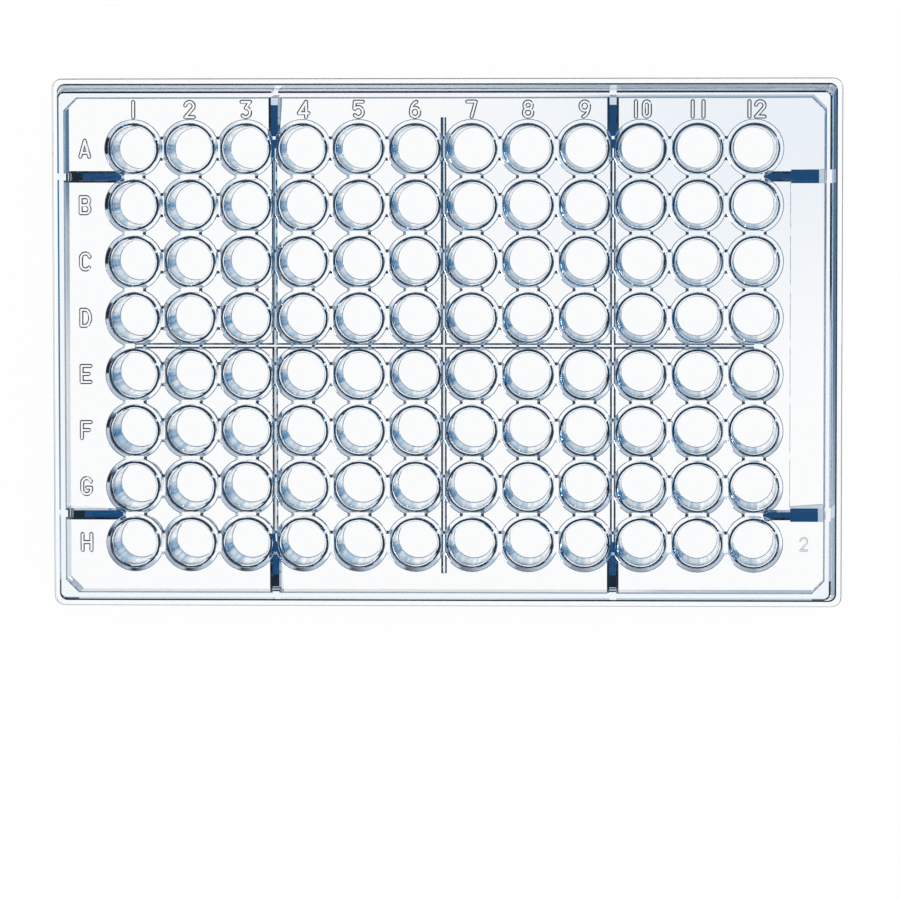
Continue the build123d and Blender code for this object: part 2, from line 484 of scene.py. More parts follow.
@dataclass
class WellForm:
    """The turned shape of one well, in millimetres, with heights from the plate's foot."""

    rim_top: float = 14.35
    mouth_radius: float = 3.5
    mouth_round: float = 0.06
    lead_radius: float = 3.3
    lead_depth: float = 2.6
    floor_radius: float = 3.29
    floor_height: float = 3.45
    floor_round: float = 0.08
    rim_radius: float = 3.99
    rim_bevel: float = 0.26
    rim_bevel_depth: float = 0.36
    rim_root: float = 0.12
    collar_radius: float = 4.68
    collar_top: float = 13.95
    collar_dish: float = 0.13
    collar_draft: float = 0.08
    collar_round: float = 0.06
    deck_top: float = 13.6
    deck_under: float = 12.5
    tube_under_radius: float = 3.9
    tube_root: float = 0.25
    foot_radius: float = 3.66
    foot_height: float = 2.3
    foot_round: float = 0.1
    clearance: float = 0.3
    facets: int = 36

    def outside(self, sketch: Sketch) -> Socket:
        """Return the outside of one well, with its collar and its rim, as a solid in a tree.

        Args:
            sketch: The tree that it is drawn in.

        Returns:
            The solid's mesh.
        """
        size = sketch.sizes(self)
        low = size.collar_top - size.collar_dish
        collar = size.collar_radius - size.collar_draft
        tube_root_radius = size.tube_under_radius + size.tube_root
        tube_bend, rim_bend = size.tube_root * ROOT_BEND, size.rim_root * ROOT_BEND
        spots = [
            (0.0, size.foot_height),
            *rounding(size.foot_radius, size.foot_height, size.foot_round, 1, 1, 2),
            (size.tube_under_radius, size.deck_under - size.tube_root),
            (size.tube_under_radius + tube_bend, size.deck_under - tube_bend),
            (tube_root_radius, size.deck_under),
            (tube_root_radius, size.deck_under + size.clearance),
            (size.collar_radius, size.deck_top - size.clearance),
            (size.collar_radius, size.deck_top),
            *rounding(collar, size.collar_top, size.collar_round, 1, -1, 1)[::-1],
            (size.rim_radius + size.rim_root, low),
            (size.rim_radius + rim_bend, low + rim_bend),
            (size.rim_radius, low + size.rim_root),
            (size.rim_radius, size.rim_top - size.rim_bevel_depth),
            (size.rim_radius - size.rim_bevel, size.rim_top),
            (0.0, size.rim_top),
        ]
        bands = [0, 3, 3, 2, 4, 4, 0, 0, 2, 2, 3, 5, 4, 4, 2, 6, 0]
        return sketch.turned(spots, bands, self.facets)

    def space(self, sketch: Sketch) -> Socket:
        """Return the space inside one well as a solid in a tree.

        Args:
            sketch: The tree that it is drawn in.

        Returns:
            The solid's mesh.
        """
        size = sketch.sizes(self)
        above = size.rim_top + size.clearance
        spots = [
            (0.0, size.floor_height),
            *rounding(size.floor_radius, size.floor_height, size.floor_round, 1, 1, 3),
            (size.lead_radius, size.rim_top - size.lead_depth),
            *rounding(size.mouth_radius, size.rim_top, size.mouth_round, -1, -1, 2)[::-1],
            (size.mouth_radius + size.mouth_round, above),
            (0.0, above),
        ]
        return sketch.turned(spots, [0, 3, 3, 3, 2, 2, 4, 4, 2, 0], self.facets)


@dataclass
class WellField:
    """The grid of wells, and the bridges between them, in millimetres."""

    form: WellForm
    material: bpy.types.Material
    columns: int = 12
    rows: int = 8
    pitch: float = 9.0
    bridge_length: float = 2.9
    bridge_splay: float = 0.55
    bridge_width: float = 0.75
    bridge_bite: float = 0.05

    @property
    def half_length(self) -> float:
        """Half the distance between the first and the last column."""
        return (self.columns - 1) * self.pitch / 2.0

    @property
    def half_width(self) -> float:
        """Half the distance between the first and the last row."""
        return (self.rows - 1) * self.pitch / 2.0

    def outsides(self, start: int) -> bpy.types.Mesh:
        """Return every second well's outside, as on a chessboard, so that no two of them overlap.

        Args:
            start: 0 for the first half of the wells, 1 for the other.

        Returns:
            The solids' mesh.
        """
        sketch = Sketch(f"well outsides {start}", self.material)
        points, rows = sketch.grid(self.columns, self.rows, self.pitch)
        column = sketch.maths("FLOOR", sketch.index() / rows)
        row = sketch.maths("MODULO", sketch.index(), rows)
        parity = sketch.maths("MODULO", column + row, 2.0)
        chosen = sketch.maths("COMPARE", parity, sketch.count("Start", start), 0.5)
        return sketch.build(sketch.placed(self.form.outside(sketch), points, chosen))

    def spaces(self) -> bpy.types.Mesh:
        """Return the spaces inside all the wells.

        Returns:
            The spaces' mesh.
        """
        sketch = Sketch("well spaces", self.material)
        points, _ = sketch.grid(self.columns, self.rows, self.pitch)
        return sketch.build(sketch.placed(self.form.space(sketch), points))

    def bridges(self, between_rows: bool) -> bpy.types.Mesh:
        """Return the small level bars that join the collars of neighbouring wells.

        Args:
            between_rows: Whether to make those between one row and the next, or between columns.

        Returns:
            The bars' mesh.
        """
        sketch = Sketch("bridges between rows" if between_rows else "bridges between columns", self.material)
        half = sketch.length("Half length", self.bridge_length / 2.0)
        splay = sketch.length("Splay", self.bridge_splay)
        low = sketch.length("Sunk foot", self.form.deck_top - self.bridge_bite)
        top = sketch.length("Top", self.form.collar_top)
        spots = [(half * -1.0 - splay, low), (half + splay, low), (half, top), (half * -1.0, top)]
        bar = sketch.band(sketch.prism(spots, sketch.length("Width", self.bridge_width)), 0.0)
        points, _ = sketch.grid(self.columns - (not between_rows), self.rows - between_rows, self.pitch)
        turn = sketch.plain("Turn", 0.0 if between_rows else QUARTER_TURN)
        return sketch.build(sketch.placed(bar, points, turn=turn))


def rounded_outline(half_x: float, half_y: float, corner: float, steps: int, flat_corner: bool) -> Outline:
    """Return a rectangle's outline with shaped corners, anticlockwise, in millimetres.

    Args:
        half_x: Half its length.
        half_y: Half its width.
        corner: How far from each corner the shaping starts.
        steps: How many facets each corner has.
        flat_corner: Whether the corners are cut straight or rounded.

    Returns:
        The outline's points, the same number for every kind of corner.
    """
    points = []
    for quarter, (side_x, side_y) in enumerate(((1, 1), (-1, 1), (-1, -1), (1, -1))):
        start, end = QUARTER_TURN * quarter, QUARTER_TURN * (quarter + 1)
        for step in range(steps + 1):
            turn = step / steps
            angle = start + QUARTER_TURN * turn
            across, along = math.cos(angle), math.sin(angle)
            if flat_corner:
                across = math.cos(start) * (1.0 - turn) + math.cos(end) * turn
                along = math.sin(start) * (1.0 - turn) + math.sin(end) * turn
            x, y = side_x * (half_x - corner) + corner * across, side_y * (half_y - corner) + corner * along
            points.append((x, y))
    return points


@dataclass
class Ring:
    """One outline of a stack, its height in millimetres, and the shading bands of the strip above it."""

    outline: Outline
    height: float
    run_band: int = 0
    corner_band: int = 0


def stacked(name: str, rings: Sequence[Ring], corner_steps: int) -> bpy.types.Mesh:
    """Return the closed mesh that joins a stack of outlines and caps its ends.

    Args:
        name: The mesh's name.
        rings: The outlines in order, with the solid on their left going up.
        corner_steps: How many facets each corner of an outline has, 0 if corners are plain.

    Returns:
        The mesh, in metres.
    """
    size = len(rings[0].outline)
    points = [Vector((x, y, ring.height)) * MM for ring in rings for x, y in ring.outline]
    faces, bands = [tuple(range(size))[::-1]], [0]
    for level, ring in enumerate(rings[:-1]):
        low, high = level * size, (level + 1) * size
        for place in range(size):
            after = (place + 1) % size
            faces.append((low + place, low + after, high + after, high + place))
            on_corner = corner_steps and place % (corner_steps + 1) != corner_steps
            bands.append(ring.corner_band if on_corner else ring.run_band)
    faces.append(tuple((len(rings) - 1) * size + place for place in range(size)))
    bands.append(0)
    mesh = bpy.data.meshes.new(name)
    mesh.from_pydata(points, [], faces)
    marks = mesh.attributes.new(BAND, "FLOAT", "FACE")
    marks.data.foreach_set("value", [float(band) for band in bands])
    return mesh


@dataclass
class Shell:
    """The deck, the drafted skirt below it and the flange round its foot, in millimetres."""

    length: float
    width: float
    deck_top: float = 13.6
    deck_thickness: float = 1.1
    flange_height: float = 2.41
    flange_ledge: float = 1.0
    flange_corner: float = 1.6
    flange_round: float = 0.2
    foot_round: float = 0.12
    wall_draft: float = 1.12
    wall_corner: float = 1.1
    wall_round: float = 0.3
    wall_root: float = 0.16
    wall_thickness: float = 0.95
    hollow_draft: float = 0.4
    hollow_corner: float = 2.05
    hollow_round: float = 0.25
    step_height: float = 1.35
    step_wall: float = 1.15
    corner_steps: int = 8
    round_steps: int = 3
    clearance: float = 0.5
    panel_edge: float = 55.25
    panel_half_width: float = 26.3
    panel_depth: float = 0.15
    panel_slope: float = 0.08

    @property
    def under(self) -> float:
        """The height of the deck's underside."""
        return self.deck_top - self.deck_thickness

    @property
    def wall_inset(self) -> float:
        """The distance from the footprint's edge to the top of the wall."""
        return self.flange_ledge + self.wall_draft

    def outline(self, inset: float, corner: float, flat_corner: bool = False) -> Outline:
        """Return the footprint's outline, drawn in by a distance."""
        half_x, half_y = self.length / 2.0 - inset, self.width / 2.0 - inset
        return rounded_outline(half_x, half_y, corner, self.corner_steps, flat_corner)

    def turn(
        self, inset: float, height: float, corner: float, size: float, out: int, up: int, steps: int
    ) -> list[Ring]:
        """Return rings that round an edge between a flat and an upright face.

        Args:
            inset: The upright face's distance inside the footprint.
            height: The flat face's height.
            corner: The outline's corner radius.
            size: The rounding's radius.
            out: 1 if the flat face lies inside the upright one, or else -1.
            up: 1 if the upright face goes up from the flat one, or else -1.
            steps: How many facets, 1 for a bevel.

        Returns:
            The rings, from the flat face to the upright one.
        """
        rings = []
        for step in range(steps + 1):
            angle = QUARTER_TURN * step / steps
            across = size * (1.0 - math.sin(angle)) * out
            rise = size * (1.0 - math.cos(angle)) * up
            rings.append(Ring(self.outline(inset + across, corner - across), height + rise, 4, 4))
        return rings

    def outside(self) -> bpy.types.Mesh:
        """Return the shell's outer form, filled in.

        Returns:
            The form's mesh.
        """
        top, ledge = self.flange_height, self.flange_ledge
        foot = self.turn(0.0, 0.0, self.flange_corner, self.foot_round, 1, 1, self.round_steps)
        foot[-1].run_band, foot[-1].corner_band = 0, 2
        edge = self.turn(0.0, top, self.flange_corner, self.flange_round, 1, -1, self.round_steps)[::-1]
        edge[-1].run_band = edge[-1].corner_band = 0
        root = self.turn(ledge, top, self.wall_corner, self.wall_root, -1, 1, 1)
        root[-1].run_band, root[-1].corner_band = 0, 2
        brow = self.turn(self.wall_inset, self.deck_top, self.wall_corner, self.wall_round, 1, -1, 1)[::-1]
        return stacked("shell outside", [*foot, *edge, *root, *brow], self.corner_steps)

    def hollow(self) -> bpy.types.Mesh:
        """Return the open underside as a solid, with flat corners and a step at the foot.

        Returns:
            The solid's mesh.
        """
        top_inset = self.wall_inset + self.wall_thickness
        foot_inset = top_inset - self.hollow_draft
        step_inset = foot_inset + self.hollow_draft * self.step_height / self.under
        below = self.outline(self.step_wall, self.wall_corner)
        rings = [
            Ring(below, -self.clearance, 0, 2),
            Ring(below, self.step_height),
            Ring(self.outline(step_inset, self.hollow_corner, True), self.step_height),
        ]
        for step in range(self.round_steps + 1):
            angle = QUARTER_TURN * step / self.round_steps
            rise = self.hollow_round * (1.0 - math.sin(angle))
            across = self.hollow_round * (1.0 - math.cos(angle))
            inner = self.outline(top_inset + across, self.hollow_corner, True)
            rings.append(Ring(inner, self.under - rise, 4, 4))
        return stacked("hollow", rings, self.corner_steps)

    def panel(self) -> bpy.types.Mesh:
        """Return the shallow recess for writing on as a solid.

        Returns:
            The solid's mesh.
        """
        end = self.length / 2.0 - self.wall_inset - self.wall_thickness
        rings = []
        for grow, height in (
            (0.0, self.deck_top - self.panel_depth),
            (self.panel_slope, self.deck_top),
            (self.panel_slope, self.deck_top + self.clearance),
        ):
            low, high, side = self.panel_edge - grow, end + grow, self.panel_half_width + grow
            rings.append(Ring([(low, -side), (high, -side), (high, side), (low, side)], height))
        return stacked("writing panel", rings, 0)


class Side(Enum):
    """A side of the plate, with the angle that its outward direction makes with X."""

    RIGHT = 0.0
    TOP = 90.0
    LEFT = 180.0
    BOTTOM = 270.0


@dataclass
class Rib:
    """The cross-section of a bar that hangs from the deck, in millimetres."""

    thickness: float = 0.3
    depth: float = 4.0
    root: float = 0.3
    draft: float = 0.05


@dataclass
class Gusset(Rib):
    """A web that stiffens the skirt under the deck, with a shallow bar at its root, in millimetres."""

    thickness: float = 1.1
    depth: float = 1.0
    root: float = 0.38
    draft: float = 0.0
    reach: float = 9.6
    ramp: float = 2.5
    ramp_rise: float = 1.17
    foot: float = 3.0
    tip_depth: float = 1.4
    wide_thickness: float = 1.85
    wide_reach: float = 0.0
    wall_bite: float = 0.7


@dataclass
class Stiffeners:
    """The ribs and the gussets under the deck, in millimetres."""

    shell: Shell
    field: WellField
    material: bpy.types.Material
    spread: float = 27.0
    centre_reach: float = 36.45
    root_slope: float = 0.7
    bite: float = 0.4

    def bar(self, sketch: Sketch, section: SimpleNamespace, bite: Number, length: Value) -> Socket:
        """Return a bar with splayed roots that hangs from the deck and runs along Y.

        Args:
            sketch: The tree that it is drawn in.
            section: The inputs for the sizes of its cross-section.
            bite: How far it goes into the deck.
            length: How far it runs.

        Returns:
            The bar's mesh.
        """
        half = section.thickness * 0.5
        root = half + section.root
        right = [
            (half - section.draft, section.depth * -1.0),
            (half, section.root * -self.root_slope),
            (root, 0.0),
            (root, bite),
        ]
        left = [(across * -1.0, height) for across, height in reversed(right)]
        return sketch.band(sketch.prism(left + right, length), 1.0)

    def ribs(self, along_x: bool) -> bpy.types.Mesh:
        """Return the three ribs across the plate, or the one along it.

        Args:
            along_x: Whether to make the one between the two middle rows.

        Returns:
            The ribs' mesh.
        """
        sketch = Sketch("rib along" if along_x else "ribs across", self.material)
        section = sketch.sizes(Rib())
        bite = sketch.length("Bite", self.bite)
        under = sketch.vector(z=sketch.length("Deck underside", self.shell.under))
        reach = self.field.half_length if along_x else self.field.half_width
        bar = self.bar(sketch, section, bite, sketch.length("Length", 2.0 * reach))
        if along_x:
            return sketch.build(sketch.moved(bar, under, (0.0, 0.0, QUARTER_TURN)))
        middle = self.bar(sketch, section, bite, sketch.length("Centre length", 2.0 * self.centre_reach))
        spread = sketch.length("Spread", self.spread)
        sides = sketch.placed(bar, sketch.line([(spread * -1.0, 0.0), (spread, 0.0)]))
        return sketch.build(sketch.moved(sketch.joined([sides, middle]), under))

    def gussets(self, side: Side, gusset: Gusset) -> bpy.types.Mesh:
        """Return the two gussets of one side of the plate.

        Args:
            side: Which side.
            gusset: Their shape.

        Returns:
            The gussets' mesh.
        """
        sketch = Sketch(f"gussets {side.name.lower()}", self.material)
        size = sketch.sizes(gusset)
        footprint = self.shell.width if side in (Side.TOP, Side.BOTTOM) else self.shell.length
        wall = footprint / 2.0 - self.shell.wall_inset - self.shell.wall_thickness
        edge = sketch.length("Wall face", wall)
        under = sketch.length("Deck underside", self.shell.under)
        bite = sketch.length("Bite", self.bite)
        top, tip = under + bite, under - size.tip_depth
        knee = size.foot + size.ramp_rise
        low_foot = size.foot - size.ramp_rise * size.wall_bite / size.ramp

        def web(reach: Number, end: Number, thickness: Number) -> Socket:
            """Return a web that reaches in from the wall, as high as given at its end.

            Args:
                reach: How far it reaches.
                end: Its lower edge's height there.
                thickness: Its thickness.

            Returns:
                The web's mesh.
            """
            spots = [
                (edge + size.wall_bite, top),
                (edge - reach, top),
                (edge - reach, end),
                (edge - size.ramp, knee),
                (edge + size.wall_bite, low_foot),
            ]
            return sketch.prism(spots, thickness)

        place = sketch.vector(edge - size.reach * 0.5, 0.0, under)
        bar = sketch.moved(self.bar(sketch, size, bite, size.reach), place, (0.0, 0.0, QUARTER_TURN))
        solids = [web(size.reach, tip, size.thickness), bar]
        if gusset.wide_reach:
            slope = (tip - knee) / (size.reach - size.ramp)
            end = knee + slope * (size.wide_reach - size.ramp)
            solids.append(web(size.wide_reach, end, size.wide_thickness))
        angle = math.radians(side.value)
        spread = self.spread * MM
        ends = [(-math.sin(angle) * spread * way, math.cos(angle) * spread * way) for way in (-1.0, 1.0)]
        turn = sketch.plain("Turn", angle)
        return sketch.build(sketch.placed(sketch.fused(solids), sketch.line(ends), turn=turn))


FACET_DEGREES = 18.0
FEWEST_FACETS = 3


def oval(x: float, y: float, wide: float, tall: float, start: float, end: float) -> list[Point]:
    """Return part of an oval as a chain of points.

    Args:
        x: The middle, sideways.
        y: The middle, up.
        wide: Half its width.
        tall: Half its height.
        start: The first point's angle in degrees.
        end: The last point's angle in degrees.

    Returns:
        The points.
    """
    steps = max(FEWEST_FACETS, round(abs(end - start) / FACET_DEGREES))
    angles = [math.radians(start + (end - start) * step / steps) for step in range(steps + 1)]
    return [(x + wide * math.cos(angle), y + tall * math.sin(angle)) for angle in angles]


# Strokes of each character, where 1 is half the distance between the outer strokes' middles.
STROKES: dict[str, list[list[Point]]] = {
    "A": [[(-1, -1), (0, 1)], [(0, 1), (1, -1)], [(-0.72, -0.5), (0.72, -0.5)]],
    "B": [
        [(-1, -1), (-1, 1), (0.3, 1)],
        oval(0.3, 0.5, 0.6, 0.5, 90, -90),
        [(-1, 0), (0.3, 0)],
        oval(0.3, -0.5, 0.7, 0.5, 90, -90),
        [(-1, -1), (0.3, -1)],
    ],
    "C": [oval(0, 0.44, 1, 0.56, 15, 180) + oval(0, -0.44, 1, 0.56, 180, 325)],
    "D": [[(-1, -1), (-1, 1), (-0.1, 1)], oval(-0.1, 0, 1.1, 1, 90, -90), [(-1, -1), (-0.1, -1)]],
    "E": [[(1, 1), (-1, 1), (-1, -1), (1, -1)], [(-1, 0), (0.6, 0)]],
    "F": [[(1, 1), (-1, 1), (-1, -1)], [(-1, 0), (0.6, 0)]],
    "G": [
        oval(0, 0.44, 1, 0.56, 15, 180) + oval(0, -0.44, 1, 0.56, 180, 360),
        [(1, -0.44), (1, -0.19), (0.1, -0.19)],
    ],
    "H": [[(-1, -1), (-1, 1)], [(1, -1), (1, 1)], [(-1, 0), (1, 0)]],
    "0": [oval(0, 0.5, 0.72, 0.5, 0, 180) + oval(0, -0.5, 0.72, 0.5, 180, 360) + [(0.72, 0.5)]],
    "1": [[(0, -1), (0, 1)]],
    "2": [oval(0, 0.45, 1, 0.55, 170, -25) + [(-1, -1)], [(-1, -1), (1, -1)]],
    "3": [[(-1, 1), (1, 1), (0, 0.2)], oval(0, -0.4, 1, 0.6, 90, -140)],
    "4": [[(0.95, -1), (0.95, 1), (-0.8, -0.5), (1.5, -0.5)]],
    "5": [[(1, 1), (-0.9, 1), (-1, 0.1)], oval(-0.05, -0.35, 1.05, 0.65, 140, -140)],
    "6": [oval(0, -0.4, 1, 0.6, 0, 360), oval(0.6, -0.4, 1.6, 1.4, 180, 100)],
    "7": [[(-1, 1), (1, 1), (0, -1)]],
    "8": [oval(0, 0.5, 0.86, 0.5, 0, 360), oval(0, -0.45, 1, 0.55, 0, 360)],
    "9": [oval(0, 0.4, 1, 0.6, 0, 360), oval(-0.6, 0.4, 1.6, 1.4, 0, -80)],
}


def unbent(chain: list[Point], limit: float) -> list[list[Point]]:
    """Return a chain of points as shorter chains that start anew at each sharp bend.

    Args:
        chain: The points.
        limit: The largest turn that a chain keeps, in degrees.

    Returns:
        The shorter chains.
    """
    runs = [[chain[0]]]
    for before, here, after in zip(chain, chain[1:], chain[2:]):
        runs[-1].append(here)
        into = Vector(here) - Vector(before)
        out = Vector(after) - Vector(here)
        if into.length and out.length and math.degrees(into.angle(out)) > limit:
            runs.append([here])
    runs[-1].append(chain[-1])
    return runs


@dataclass
class Stroke:
    """The cross-section of a raised stroke, in millimetres."""

    width: float
    slope: float
    height: float
    bite: float = 0.2


@dataclass
class Lettering:
    """The raised row letters, column numbers and cavity mark, in millimetres."""

    field: WellField
    material: bpy.types.Material
    deck_top: float
    letter_x: float = -57.3
    letter_half: Point = (0.71, 1.28)
    number_y: float = 37.72
    number_half: Point = (0.67, 1.21)
    digit_gap: float = 1.72
    mark: str = "2"
    mark_place: Point = (57.45, -31.6)
    mark_half: Point = (0.53, 1.0)
    end_growth: float = 1.02
    bend: float = 40.0
    facets: int = 16

    def character(self, name: str, place: Point, half: Point) -> list[list[Point]]:
        """Return one character's strokes, in place, with half its width and height given.

        Args:
            name: The character.
            place: Its middle.
            half: Half its width and half its height.

        Returns:
            The strokes' middles.
        """
        strokes = STROKES[name]
        chains = [[(place[0] + x * half[0], place[1] + y * half[1]) for x, y in chain] for chain in strokes]
        return [run for chain in chains for run in unbent(chain, self.bend)]

    def labels(self) -> bpy.types.Mesh:
        """Return all the row letters and column numbers.

        Returns:
            The characters' mesh.
        """
        chains = []
        for row in range(self.field.rows):
            place = (self.letter_x, self.field.half_width - row * self.field.pitch)
            chains += self.character(chr(ord("A") + row), place, self.letter_half)
        for column in range(self.field.columns):
            number = str(column + 1)
            middle = column * self.field.pitch - self.field.half_length
            for order, digit in enumerate(number):
                x = middle + (order - (len(number) - 1) / 2.0) * self.digit_gap
                chains += self.character(digit, (x, self.number_y), self.number_half)
        return self.raised(chains, Stroke(width=0.68, slope=0.19, height=0.16))

    def cavity_mark(self) -> bpy.types.Mesh:
        """Return the small number of the mould's cavity."""
        chains = self.character(self.mark, self.mark_place, self.mark_half)
        return self.raised(chains, Stroke(width=0.3, slope=0.08, height=0.07))

    def raised(self, chains: Sequence[Sequence[Point]], stroke: Stroke) -> bpy.types.Mesh:
        """Return raised strokes with sloped sides and round ends as one solid.

        Args:
            chains: The strokes' middles.
            stroke: Their cross-section.

        Returns:
            The solid's mesh.
        """
        points, edges = [], []
        for chain in chains:
            first = len(points)
            points += [Vector((x, y, self.deck_top)) * MM for x, y in chain]
            edges += [(first + step, first + step + 1) for step in range(len(chain) - 1)]
        middles = bpy.data.meshes.new("middles")
        middles.from_pydata(points, edges, [])
        sketch = Sketch("raised strokes", self.material)
        size = sketch.sizes(stroke)
        top_half = size.width * 0.5 - size.slope
        low_half = size.width * 0.5 + size.slope * size.bite / size.height
        up = size.height * -1.0
        spots = [(low_half, size.bite), (low_half * -1.0, size.bite), (top_half * -1.0, up), (top_half, up)]
        curve = sketch.node("GeometryNodeMeshToCurve", {0: sketch.mesh}).outputs[0]
        upright = sketch.node("GeometryNodeSetCurveNormal", {0: curve}, mode="Z_UP").outputs[0]
        profile = {"Curve": upright, "Profile Curve": sketch.loop(spots), "Fill Caps": True}
        swept = sketch.node("GeometryNodeCurveToMesh", profile).outputs[0]
        cone = {
            "Vertices": self.facets,
            "Radius Top": top_half * self.end_growth,
            "Radius Bottom": low_half * self.end_growth,
            "Depth": size.height + size.bite,
        }
        end = sketch.node("GeometryNodeMeshCone", cone).outputs[0]
        sunk = sketch.moved(end, sketch.vector(z=size.bite * -1.0))
        ends = sketch.node("GeometryNodeCurveEndpointSelection").outputs[0]
        dotted = {"Points": curve, "Selection": ends, "Instance": sunk}
        dots = sketch.node("GeometryNodeInstanceOnPoints", dotted).outputs[0]
        island = sketch.node("GeometryNodeInputMeshIsland").outputs["Island Index"]
        strokes = sketch.node("GeometryNodeSplitToInstances", {0: swept, "Group ID": island}).outputs[0]
        return sketch.build(sketch.fused([sketch.joined([strokes, dots])]), middles)


@dataclass(frozen=True)
class ClearPolystyrene:
    """Clear moulded polystyrene with a faint blue cast that shows in long paths."""

    tint: Colour = (1.0, 1.0, 1.0)
    refraction: float = 1.59
    roughness: float = 0.0
    absorbed: Colour = (0.25, 0.62, 0.86)
    density: float = 10.0
    flow_scale: float = 260.0
    flow_height: float = 0.000004
    upright_start: float = 0.3
    upright_full: float = 0.2
    # Painted shade: dark blue streaks on upright walls inside the well field, standing in for the dark blue
    # shade that refraction shows in the wells.
    streak: Colour = (0.16, 0.46, 0.7)
    streak_scale: float = 1500.0
    streak_reach: Point = (0.0545, 0.0365)
    streak_levels: Point = (0.46, 0.64)
    # Painted shade: a blue-grey tint on the deck's underside, growing towards the +X, +Y corner, where the
    # plate looks dimmer.
    haze: Colour = (0.74, 0.82, 0.92)
    haze_height: float = 0.0125
    haze_depth: float = 0.0002
    haze_start: Point = (-0.03, -0.012)
    haze_full: Point = (0.058, 0.036)
    # A dark blue patch, in the noise pattern, on the upright faces of one well, F1.
    stain: Colour = (0.1, 0.3, 0.5)
    stain_place: Point = (-0.0501, -0.0141)
    stain_radius: float = 0.0037
    stain_edge: float = 1.06
    stain_levels: Point = (0.62, 0.38)

    def material(self) -> bpy.types.Material:
        """Return the finish as a Blender material.

        Returns:
            The material.
        """
        material = bpy.data.materials.new("clear polystyrene")
        material.use_nodes = True
        tree = Tree(material.node_tree)
        shader = material.node_tree.nodes["Principled BSDF"]
        shader.inputs["Base Color"].default_value = (*self.tint, 1.0)
        shader.inputs["IOR"].default_value = self.refraction
        shader.inputs["Roughness"].default_value = self.roughness
        shader.inputs["Transmission Weight"].default_value = 1.0
        place = tree.node("ShaderNodeTexCoord").outputs["Object"]
        flow = tree.node("ShaderNodeTexNoise", {"Vector": place, "Scale": self.flow_scale, "Detail": 2.0})
        bumped = {"Height": flow.outputs["Fac"], "Strength": 1.0, "Distance": self.flow_height}
        bump = tree.node("ShaderNodeBump", bumped).outputs["Normal"]
        tree.fill(shader, {"Base Color": self.colour(tree, place), "Normal": bump})
        taken = {"Color": (*self.absorbed, 1.0), "Density": self.density}
        depth = tree.node("ShaderNodeVolumeAbsorption", taken)
        tree.fill(material.node_tree.nodes["Material Output"], {"Volume": depth.outputs["Volume"]})
        return material

    def colour(self, tree: Tree, place: Socket) -> Socket:
        """Return what the surface lets through: blue streaks of painted shade on upright walls, painted
        blue-grey shade on the deck's underside towards one corner, and a dark blue patch on the walls of one
        well.

        Args:
            tree: The material's nodes.
            place: The place on the plate.

        Returns:
            The colour's socket.
        """
        x, y, z = tree.axes(place)
        facing = tree.axes(tree.node("ShaderNodeNewGeometry").outputs["True Normal"])[2]
        upright = tree.ramp(tree.maths("ABSOLUTE", facing), self.upright_start, self.upright_full)
        noise = {"Vector": tree.vector(x, y), "Scale": self.streak_scale, "Detail": 1.0}
        marks = Number(tree, tree.node("ShaderNodeTexNoise", noise).outputs["Fac"])
        # Painted shade: blue streaks where the noise is high, on upright faces inside the well field.
        inside = tree.maths("LESS_THAN", tree.maths("ABSOLUTE", x), self.streak_reach[0])
        inside = tree.maths("LESS_THAN", tree.maths("ABSOLUTE", y), self.streak_reach[1]) * inside
        shade_streaks = tree.ramp(marks, *self.streak_levels) * (upright * inside)
        colour = tree.mixed(shade_streaks, self.tint, self.streak)
        # Painted shade: the deck's underside turns blue-grey towards the +X, +Y corner.
        under = tree.maths("COMPARE", z, self.haze_height, self.haze_depth)
        corner = tree.ramp(x, self.haze_start[0], self.haze_full[0]) * under
        corner = tree.ramp(y, self.haze_start[1], self.haze_full[1]) * corner
        colour = tree.mixed(corner, colour, self.haze)
        # A dark blue patch where the noise is low, on the upright faces round one well.
        across, along = x - self.stain_place[0], y - self.stain_place[1]
        off = tree.maths("SQRT", across * across + along * along)
        near = tree.ramp(off, self.stain_radius * self.stain_edge, self.stain_radius) * upright
        return tree.mixed(tree.ramp(marks, *self.stain_levels) * near, colour, self.stain)


